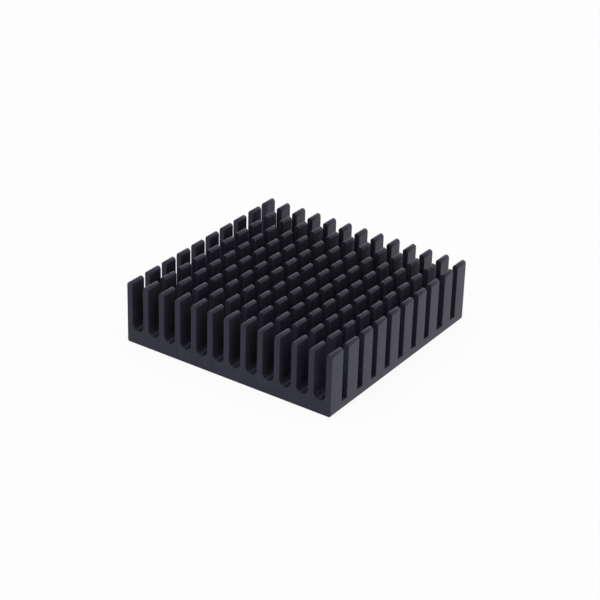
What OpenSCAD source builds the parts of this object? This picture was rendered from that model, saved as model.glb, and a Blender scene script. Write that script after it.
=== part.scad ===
// Pin fin heat sink: one length of finned aluminium extrusion, cross-cut into pins.
// The origin is at the middle of the underside. X runs across the fins, Y along them, Z is up.

/* [Overall size] */
// Width across the fins, along X
width = 40; // [30:0.5:60]
// Depth along the fins, along Y
depth = 40; // [30:0.5:60]
// Height from the underside to the fin tips
height = 11; // [8:0.5:20]

/* [Extrusion] */
// Thickness of the base under the channels
base_t = 2.4; // [2:0.1:4]
// Radius of the two long lower edges of the base
base_edge_r = 0.3; // [0.1:0.05:1]
// Number of fins
fin_count = 13; // [7:1:15]
// Thickness of each fin
fin_t = 1.05; // [0.7:0.05:1.3]

/* [Cross cuts] */
// Number of rows of pins that the saw cuts leave
row_count = 10; // [6:1:11]
// Width of each saw cut
cut_w = 1.45; // [1:0.05:1.8]
// Metal left under each saw cut
cut_floor_t = 1.5; // [1:0.1:1.9]
// Length of the pins in the first row, at the front
first_row_l = 3.15; // [2.5:0.05:4]
// Length of the pins in the second row
second_row_l = 2.95; // [2.5:0.05:4]
// Length of the pins in the last row, at the back
last_row_l = 2.7; // [2:0.05:4]
// The row that has the one wider saw cut behind it, counted from the front
wide_cut_row = 8; // [1:1:9]
// Width of that saw cut
wide_cut_w = 1.8; // [1.4:0.05:2.2]

/* [Hidden] */

// Smoothness of the round edges
$fn = 32;
// How far each cutting shape runs past the metal
past = 1;

// Fins stand at an even pitch, with the outer two flush with the sides of the base
fin_pitch = (width - fin_t) / (fin_count - 1);
tip_r = fin_t / 2;

// Each channel fills the space between two fins and has a full round bottom
channel_w = fin_pitch - fin_t;
channel_r = channel_w / 2;

// The rows between the second one and the last share what is left of the depth
even_rows = row_count - 3;
set_rows_l = first_row_l + second_row_l + last_row_l;
even_row_l = (depth - set_rows_l - cuts_sum(row_count - 2)) / even_rows;
row_l = concat([first_row_l, second_row_l], [for (r = [1:even_rows]) even_row_l], [last_row_l]);

// Left side of fin i
function fin_x(i) = -width / 2 + i * fin_pitch;

// Width and front of the saw cut behind row r, where the first row is 0
function cut_width(r) = r == wide_cut_row - 1 ? wide_cut_w : cut_w;
function cut_y(r) = -depth / 2 + rows_sum(r) + cuts_sum(r - 1);
function rows_sum(r) = r < 0 ? 0 : row_l[r] + rows_sum(r - 1);
function cuts_sum(r) = r < 0 ? 0 : cut_width(r) + cuts_sum(r - 1);

// Block of the extrusion up to the middle of the fins' round tips
module block_outline() {
    difference() {
        translate([-width / 2, 0]) square([width, height - tip_r]);
        for (side = [-1, 1]) lower_corner(side);
    }
}

// What a round lower edge takes off the block
module lower_corner(side) {
    mirror([side < 0 ? 1 : 0, 0])
        translate([width / 2 - base_edge_r, base_edge_r])
            difference() {
                translate([0, -base_edge_r - past]) square(base_edge_r + past);
                circle(base_edge_r);
            }
}

// Channel between fin i and the next one, open at the top
module channel_outline(i) {
    translate([fin_x(i) + fin_t, base_t + channel_r]) square([channel_w, height]);
    translate([fin_x(i) + fin_t + channel_r, base_t + channel_r]) circle(channel_r);
}

// Section of the extrusion
module section() {
    difference() {
        block_outline();
        for (i = [0:fin_count - 2]) channel_outline(i);
    }
    for (i = [0:fin_count - 1])
        translate([fin_x(i) + tip_r, height - tip_r]) circle(tip_r);
}

// Saw cut behind row r, across the whole width
module saw_cut(r) {
    translate([-width / 2 - past, cut_y(r), cut_floor_t])
        cube([width + 2 * past, cut_width(r), height]);
}

module heat_sink() {
    color("#33363d")
        difference() {
            translate([0, depth / 2, 0]) rotate([90, 0, 0]) linear_extrude(depth) section();
            for (r = [0:row_count - 2]) saw_cut(r);
        }
}

heat_sink();
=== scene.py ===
import math

import bpy
from mathutils import Matrix, Vector


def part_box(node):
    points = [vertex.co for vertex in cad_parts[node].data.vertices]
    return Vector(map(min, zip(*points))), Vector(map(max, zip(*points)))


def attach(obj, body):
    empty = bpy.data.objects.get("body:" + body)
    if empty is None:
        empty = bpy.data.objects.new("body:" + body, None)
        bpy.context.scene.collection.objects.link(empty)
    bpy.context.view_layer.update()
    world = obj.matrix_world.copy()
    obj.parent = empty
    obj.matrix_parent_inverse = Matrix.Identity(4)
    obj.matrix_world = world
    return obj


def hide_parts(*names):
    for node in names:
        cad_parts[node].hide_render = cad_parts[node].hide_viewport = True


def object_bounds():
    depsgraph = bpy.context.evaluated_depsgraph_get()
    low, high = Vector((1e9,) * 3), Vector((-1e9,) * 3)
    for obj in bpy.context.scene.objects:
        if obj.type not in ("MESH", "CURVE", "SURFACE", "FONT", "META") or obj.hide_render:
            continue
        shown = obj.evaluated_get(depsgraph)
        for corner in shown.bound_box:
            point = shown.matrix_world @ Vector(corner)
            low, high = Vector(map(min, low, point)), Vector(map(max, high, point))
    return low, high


mm = 0.001
near = mm / 100
tiny = mm / 1000

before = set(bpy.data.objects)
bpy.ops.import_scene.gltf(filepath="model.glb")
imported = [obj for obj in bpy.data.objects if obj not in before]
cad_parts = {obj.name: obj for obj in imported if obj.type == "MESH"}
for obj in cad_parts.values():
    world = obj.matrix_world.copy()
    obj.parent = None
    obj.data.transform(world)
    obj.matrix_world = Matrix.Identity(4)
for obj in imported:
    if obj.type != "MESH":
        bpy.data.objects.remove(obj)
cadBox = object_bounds()
print("frame loaded")


# camera

view = {
    "azimuth": 33.88,
    "elevation": 28.33,
    "roll": 1.67,
    "distance": 329.4 * mm,
    "lens": 119.55,
    "sensor": 36,
    "nearest": 0.01,
    "farthest": 20,
    "aside": -0.29 * mm,
    "above": -0.06 * mm,
}


def addCamera():
    low, high = cadBox
    middle = (low + high) / 2
    turn, tilt, roll = (math.radians(view[k]) for k in ("azimuth", "elevation", "roll"))
    back = Vector((math.sin(turn) * math.cos(tilt), -math.cos(turn) * math.cos(tilt), math.sin(tilt)))
    across = Vector((math.cos(turn), math.sin(turn), 0))
    upright = back.cross(across)
    # roll tips the camera a little to one side
    right = across * math.cos(roll) + upright * math.sin(roll)
    up = upright * math.cos(roll) - across * math.sin(roll)
    place = middle + back * view["distance"] - right * view["aside"] - up * view["above"]
    data = bpy.data.cameras.new("camera")
    data.lens = view["lens"]
    data.sensor_width = view["sensor"]
    data.clip_start = view["nearest"]
    data.clip_end = view["farthest"]
    camera = bpy.data.objects.new("camera", data)
    bpy.context.scene.collection.objects.link(camera)
    turned = Matrix((right, up, back)).transposed().to_4x4()
    camera.matrix_world = Matrix.Translation(place) @ turned
    bpy.context.scene.camera = camera


addCamera()
bpy.context.scene.view_settings.view_transform = "Standard"
print("camera set")


# heat sink

sink = {
    "finCount": 13,
    "finThick": 1.05 * mm,
    "baseThick": 2.4 * mm,
    "baseEdgeRadius": 0.3 * mm,
    "rowCount": 10,
    "cutWidth": 1.45 * mm,
    "cutFloor": 1.5 * mm,
    "frontRows": (3.15 * mm, 2.95 * mm),
    "lastRow": 2.7 * mm,
    "wideCutRow": 8,
    "wideCutWidth": 1.8 * mm,
    "edgeBreak": 0.07 * mm,
    "tipSteps": 10,
    "channelSteps": 12,
    "baseEdgeSteps": 4,
    "breakSteps": 2,
    "sharpAngle": 35,
    "smoothAngle": 50,
    "mergeWithin": mm / 500,
}


def deselectAll():
    if bpy.context.mode != "OBJECT":
        bpy.ops.object.mode_set(mode="OBJECT")
    bpy.ops.object.select_all(action="DESELECT")


def makeOnly(piece):
    deselectAll()
    piece.select_set(True)
    bpy.context.view_layer.objects.active = piece


def pick(piece, kind, test):
    # selects the vertices, edges or faces that pass the test
    bpy.ops.object.mode_set(mode="OBJECT")
    mesh = piece.data
    for part in (mesh.vertices, mesh.edges, mesh.polygons):
        part.foreach_set("select", [False] * len(part))
    for item in {"VERT": mesh.vertices, "EDGE": mesh.edges, "FACE": mesh.polygons}[kind]:
        item.select = test(item)
    bpy.context.tool_settings.mesh_select_mode = [kind == k for k in ("VERT", "EDGE", "FACE")]
    bpy.ops.object.mode_set(mode="EDIT")


def rowPlaces(low, high):
    # front and back of each row of pins, where the rows between share the depth evenly
    cuts = [sink["cutWidth"]] * (sink["rowCount"] - 1)
    cuts[sink["wideCutRow"] - 1] = sink["wideCutWidth"]
    first, last = list(sink["frontRows"]), [sink["lastRow"]]
    evenRows = sink["rowCount"] - len(first + last)
    evenLength = (high.y - low.y - sum(first + last + cuts)) / evenRows
    places = []
    y = low.y
    for length, cut in zip(first + [evenLength] * evenRows + last, cuts + [0]):
        places.append((y, y + length))
        y += length + cut
    return places


def pull(x=0.0, y=0.0, z=0.0):
    bpy.ops.mesh.extrude_region_move(TRANSFORM_OT_translate={"value": (x, y, z)})


def rowSkin(low, high):
    # one edge, a metre long, is drawn up and over each fin and round each channel
    width, height = high.x - low.x, high.z - low.z
    pitch = (width - sink["finThick"]) / (sink["finCount"] - 1)
    tipRadius = sink["finThick"] / 2
    channelRadius = (pitch - sink["finThick"]) / 2
    tipHeight = height - tipRadius
    channelHeight = sink["baseThick"] + channelRadius
    halfTurn = math.pi
    deselectAll()
    bpy.ops.mesh.primitive_plane_add(size=1, location=(low.x + 0.5, 0.5, sink["cutFloor"]))
    skin = bpy.context.active_object
    skin.name = "rowSkin"
    bpy.ops.object.transform_apply(location=True, rotation=False, scale=False)
    bpy.ops.object.mode_set(mode="EDIT")
    pick(skin, "VERT", lambda v: v.co.x > low.x + mm)
    bpy.ops.mesh.delete(type="VERT")
    bpy.ops.mesh.select_all(action="SELECT")
    pull(z=tipHeight - sink["cutFloor"])
    for fin in range(sink["finCount"]):
        x = low.x + fin * pitch + tipRadius
        middle = (x, 0, tipHeight)
        bpy.ops.mesh.spin(steps=sink["tipSteps"], angle=-halfTurn, center=middle, axis=(0, 1, 0))
        if fin == sink["finCount"] - 1:
            break
        pull(z=channelHeight - tipHeight)
        x += tipRadius + channelRadius
        middle = (x, 0, channelHeight)
        bpy.ops.mesh.spin(steps=sink["channelSteps"], angle=halfTurn, center=middle, axis=(0, 1, 0))
        pull(z=tipHeight - channelHeight)
    pull(z=sink["cutFloor"] - tipHeight)
    deselectAll()
    return skin


def rowCopies(skin, places):
    rows = []
    for front, back in places:
        row = skin.copy()
        row.data = skin.data.copy()
        bpy.context.scene.collection.objects.link(row)
        row.scale.y = back - front
        row.location.y = front
        makeOnly(row)
        bpy.ops.object.transform_apply(location=True, rotation=False, scale=True)
        rows.append(row)
    bpy.data.objects.remove(skin)
    return rows


def baseTray(low, high, places):
    # the metal under the saw cuts, with its top left out under each row
    floor = sink["cutFloor"]
    middle = (low + high) / 2
    deselectAll()
    bpy.ops.mesh.primitive_cube_add(size=1, location=(middle.x, middle.y, low.z + floor / 2))
    tray = bpy.context.active_object
    tray.name = "baseTray"
    tray.scale = (high.x - low.x, high.y - low.y, floor)
    bpy.ops.object.transform_apply(location=True, rotation=False, scale=True)
    bpy.ops.object.mode_set(mode="EDIT")
    for y in [end for place in places for end in place][1:-1]:
        bpy.ops.mesh.select_all(action="SELECT")
        bpy.ops.mesh.bisect(plane_co=(0, y, 0), plane_no=(0, 1, 0))
    verts = tray.data.vertices

    def underRow(face):
        return face.normal.z > 0.9 and any(front < face.center.y < back for front, back in places)

    def lowerLong(edge):
        a, b = (verts[i].co for i in edge.vertices)
        atSide = abs(a.x) > high.x - near
        return atSide and max(a.z, b.z) < low.z + floor / 2 and abs(a.x - b.x) < near

    pick(tray, "FACE", underRow)
    bpy.ops.mesh.delete(type="FACE")
    pick(tray, "EDGE", lowerLong)
    bpy.ops.mesh.bevel(
        offset=sink["baseEdgeRadius"], offset_type="OFFSET", segments=sink["baseEdgeSteps"], affect="EDGES"
    )
    deselectAll()
    return tray


def closeEnds(piece, places, low):
    # each row's two ends are flat saw-cut faces
    verts = piece.data.vertices
    for end in [end for place in places for end in place]:

        def onEnd(edge):
            a, b = (verts[i].co for i in edge.vertices)
            flat = abs(a.y - end) < tiny and abs(b.y - end) < tiny
            return flat and min(a.z, b.z) > low.z + sink["cutFloor"] - tiny

        pick(piece, "EDGE", onEnd)
        bpy.ops.mesh.edge_face_add()


def buildSink():
    low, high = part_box("heat_sink")
    places = rowPlaces(low, high)
    rows = rowCopies(rowSkin(low, high), places)
    piece = baseTray(low, high, places)
    makeOnly(piece)
    for row in rows:
        row.select_set(True)
    bpy.ops.object.join()
    piece.name = "pinFinSink"
    bpy.ops.object.mode_set(mode="EDIT")
    bpy.ops.mesh.select_all(action="SELECT")
    bpy.ops.mesh.remove_doubles(threshold=sink["mergeWithin"])
    closeEnds(piece, places, low)
    bpy.ops.mesh.select_all(action="SELECT")
    bpy.ops.mesh.normals_make_consistent(inside=False)
    deselectAll()
    return piece


def breakEdges(piece):
    # the outward corners are eased a little, and the tips and channels stay smooth
    verts = piece.data.vertices
    faces = {}
    for face in piece.data.polygons:
        for key in face.edge_keys:
            faces.setdefault(key, []).append(face)
    weights = piece.data.attributes.new("bevel_weight_edge", "FLOAT", "EDGE")
    for edge in piece.data.edges:
        one, other = faces[edge.key]
        bend = one.normal.angle(other.normal, 0)
        middle = (verts[edge.key[0]].co + verts[edge.key[1]].co) / 2
        outward = (one.center - middle).dot(other.normal) < -tiny
        sharp = bend > math.radians(sink["sharpAngle"])
        weights.data[edge.index].value = 1.0 if outward and sharp else 0.0
    makeOnly(piece)
    bevel = piece.modifiers.new("edgeBreak", "BEVEL")
    bevel.limit_method = "WEIGHT"
    bevel.width = sink["edgeBreak"]
    bevel.segments = sink["breakSteps"]
    bevel.use_clamp_overlap = False
    bpy.ops.object.modifier_apply(modifier=bevel.name)
    bpy.ops.object.shade_smooth_by_angle(angle=math.radians(sink["smoothAngle"]))
    weighted = piece.modifiers.new("flatFaces", "WEIGHTED_NORMAL")
    weighted.keep_sharp = True
    bpy.ops.object.modifier_apply(modifier=weighted.name)
    deselectAll()


heatSink = buildSink()
breakEdges(heatSink)
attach(heatSink, "root")
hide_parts("heat_sink")
print("heat sink modelled")


# black anodised aluminium

anodised = {
    "colour": (0.0238, 0.0242, 0.0330, 1),
    "paler": (0.0333, 0.0340, 0.0450, 1),
    "worn": (0.078, 0.077, 0.088, 1),
    "roughness": 0.23,
    "streakWide": 0.42 * mm,
    "streakLong": 18,
    "streakDepth": 0.020 * mm,
    "streakRough": 0.18,
    "grainWide": 0.12 * mm,
    "grainDepth": 0.003 * mm,
    "grainRough": 0.16,
    "cloudWide": 2.6 * mm,
    "cloudRough": 0.10,
    "edgeWear": 0.6,
    "wearWide": 0.5 * mm,
    "indexOfRefraction": 1.31,
    "glossTint": (0.52, 0.55, 1.0, 1),
}


def addNode(tree, kind, **values):
    node = tree.nodes.new(kind)
    for key, value in values.items():
        setattr(node, key, value)
    return node


def feed(tree, node, **values):
    # a value or another node's output for each named input
    for key, value in values.items():
        socket = node.inputs[int(key[1:])] if key[0] == "n" and key[1:].isdigit() else node.inputs[key]
        if hasattr(value, "links"):
            tree.links.new(value, socket)
        else:
            socket.default_value = value


def maths(tree, kind, first, second=0.0, third=0.0):
    node = addNode(tree, "ShaderNodeMath", operation=kind)
    feed(tree, node, n0=first, n1=second, n2=third)
    return node.outputs[0]


def ramp(tree, value, low, high, start=0.0, end=1.0):
    node = addNode(tree, "ShaderNodeMapRange")
    feed(tree, node, n0=value, n1=low, n2=high, n3=start, n4=end)
    return node.outputs[0]


def mixColour(tree, amount, first, second, blend="MIX"):
    node = addNode(tree, "ShaderNodeMix", data_type="RGBA", blend_type=blend)
    feed(tree, node, n0=amount, n6=first, n7=second)
    return node.outputs[2]


def noise(tree, where, size, stretch=(1, 1, 1), detail=2.0, rough=0.5):
    # size is the pattern's grain in metres, stretch makes it longer along an axis
    mapping = addNode(tree, "ShaderNodeMapping")
    feed(tree, mapping, n0=where, Scale=tuple(1 / (size * k) for k in stretch))
    node = addNode(tree, "ShaderNodeTexNoise")
    feed(tree, node, Vector=mapping.outputs[0], Scale=1.0, Detail=detail, Roughness=rough)
    return node.outputs["Fac"]


def makeAnodised():
    material = bpy.data.materials.new("blackAnodised")
    material.use_nodes = True
    tree = material.node_tree
    tree.nodes.clear()
    shader = addNode(tree, "ShaderNodeBsdfPrincipled")
    output = addNode(tree, "ShaderNodeOutputMaterial")
    tree.links.new(shader.outputs[0], output.inputs[0])
    where = addNode(tree, "ShaderNodeTexCoord").outputs["Object"]

    # streaks run up every face and show as specks on the crowns, with a fine grain over them
    streaks = noise(tree, where, anodised["streakWide"], (1, 1, anodised["streakLong"]), 3.0, 0.6)
    grain = noise(tree, where, anodised["grainWide"], detail=3.0)
    cloudy = noise(tree, where, anodised["cloudWide"], detail=2.0)
    tone = maths(tree, "ADD", maths(tree, "MULTIPLY", streaks, 0.6), maths(tree, "MULTIPLY", cloudy, 0.4))
    colour = mixColour(tree, ramp(tree, tone, 0.35, 0.65), anodised["colour"], anodised["paler"])

    # the broken edges round the sawn faces are a little paler where they have been handled
    facing = addNode(tree, "ShaderNodeSeparateXYZ")
    feed(tree, facing, n0=addNode(tree, "ShaderNodeNewGeometry").outputs["Normal"])
    along = maths(tree, "ABSOLUTE", facing.outputs["Y"])
    across = maths(tree, "SQRT", maths(tree, "SUBTRACT", 1.0, maths(tree, "POWER", along, 2.0)))
    corner = ramp(tree, maths(tree, "MULTIPLY", along, across), 0.25, 0.48)
    patchy = ramp(tree, noise(tree, where, anodised["wearWide"], detail=3.0), 0.42, 0.68)
    wear = maths(tree, "MULTIPLY", maths(tree, "MULTIPLY", corner, patchy), anodised["edgeWear"])
    colour = mixColour(tree, wear, colour, anodised["worn"])

    # every pattern averages a half, so half of each one's share comes off first
    spread = anodised["grainRough"] + anodised["streakRough"] + anodised["cloudRough"]
    rough = maths(tree, "MULTIPLY_ADD", grain, anodised["grainRough"], anodised["roughness"] - spread / 2)
    rough = maths(tree, "MULTIPLY_ADD", streaks, anodised["streakRough"], rough)
    rough = maths(tree, "MULTIPLY_ADD", cloudy, anodised["cloudRough"], rough)

    height = maths(tree, "MULTIPLY", streaks, anodised["streakDepth"])
    height = maths(tree, "MULTIPLY_ADD", grain, anodised["grainDepth"], height)
    bump = addNode(tree, "ShaderNodeBump")
    feed(tree, bump, Strength=1.0, Distance=1.0, Height=height)
    feed(tree, shader, Roughness=rough, Normal=bump.outputs[0], IOR=anodised["indexOfRefraction"])
    shader.inputs["Base Color"].default_value = anodised["colour"]
    tree.links.new(colour, shader.inputs["Base Color"])
    shader.inputs["Specular Tint"].default_value = anodised["glossTint"]
    return material


heatSink.data.materials.clear()
heatSink.data.materials.append(makeAnodised())
print("anodised finish made")


# floor and light

studio = {
    "floorColour": (0.90, 0.90, 0.90, 1),
    "floorReach": 3.0,
    "floorGap": 0.02 * mm,
    "shadow": 0.08,
    "worldLevel": 0.66,
}


def whiteToEye(tree):
    # 1 where the eye, a mirror or glass looks, 0 for the light that falls on things
    path = addNode(tree, "ShaderNodeLightPath")
    seen = maths(tree, "MAXIMUM", path.outputs["Is Camera Ray"], path.outputs["Is Glossy Ray"])
    return maths(tree, "MAXIMUM", seen, path.outputs["Is Transmission Ray"])


def addFloor():
    low, high = cadBox
    deselectAll()
    # a hair below the underside, so that the two faces never share a plane
    height = low.z - studio["floorGap"]
    bpy.ops.mesh.primitive_plane_add(size=studio["floorReach"] * 2, location=(0, 0, height))
    floor = bpy.context.active_object
    floor.name = "floor"
    material = bpy.data.materials.new("paleFloor")
    material.use_nodes = True
    tree = material.node_tree
    tree.nodes.clear()
    paint = addNode(tree, "ShaderNodeBsdfDiffuse")
    feed(tree, paint, Color=studio["floorColour"])
    glow = addNode(tree, "ShaderNodeEmission")
    feed(tree, glow, Color=(1, 1, 1, 1), Strength=1.0)
    both = addNode(tree, "ShaderNodeMixShader")
    amount = maths(tree, "MULTIPLY", whiteToEye(tree), 1 - studio["shadow"])
    feed(tree, both, n0=amount, n1=paint.outputs[0], n2=glow.outputs[0])
    output = addNode(tree, "ShaderNodeOutputMaterial")
    tree.links.new(both.outputs[0], output.inputs[0])
    floor.data.materials.append(material)


def addWorld():
    world = bpy.data.worlds.new("studio")
    bpy.context.scene.world = world
    world.use_nodes = True
    tree = world.node_tree
    tree.nodes.clear()
    sky = addNode(tree, "ShaderNodeBackground")
    level = ramp(tree, whiteToEye(tree), 0.0, 1.0, studio["worldLevel"], 1.0)
    feed(tree, sky, Color=(1, 1, 1, 1), Strength=level)
    output = addNode(tree, "ShaderNodeOutputWorld")
    tree.links.new(sky.outputs[0], output.inputs[0])


lamps = {
    "overhead": {"place": (-0.10, 0.05, 0.80), "size": 0.60, "power": 1.8},
    "right": {"place": (0.65, -0.20, 0.40), "size": 0.45, "power": 0.32},
}


def addLamp(name, place, size, power):
    low, high = cadBox
    target = (low + high) / 2
    data = bpy.data.lights.new(name, "AREA")
    data.shape = "SQUARE"
    data.size = size
    data.energy = power
    lamp = bpy.data.objects.new(name, data)
    bpy.context.scene.collection.objects.link(lamp)
    lamp.location = place
    lamp.rotation_euler = (Vector(place) - target).to_track_quat("Z", "Y").to_euler()


addFloor()
addWorld()
for name, values in lamps.items():
    addLamp(name, values["place"], values["size"], values["power"])
print("floor and light set")
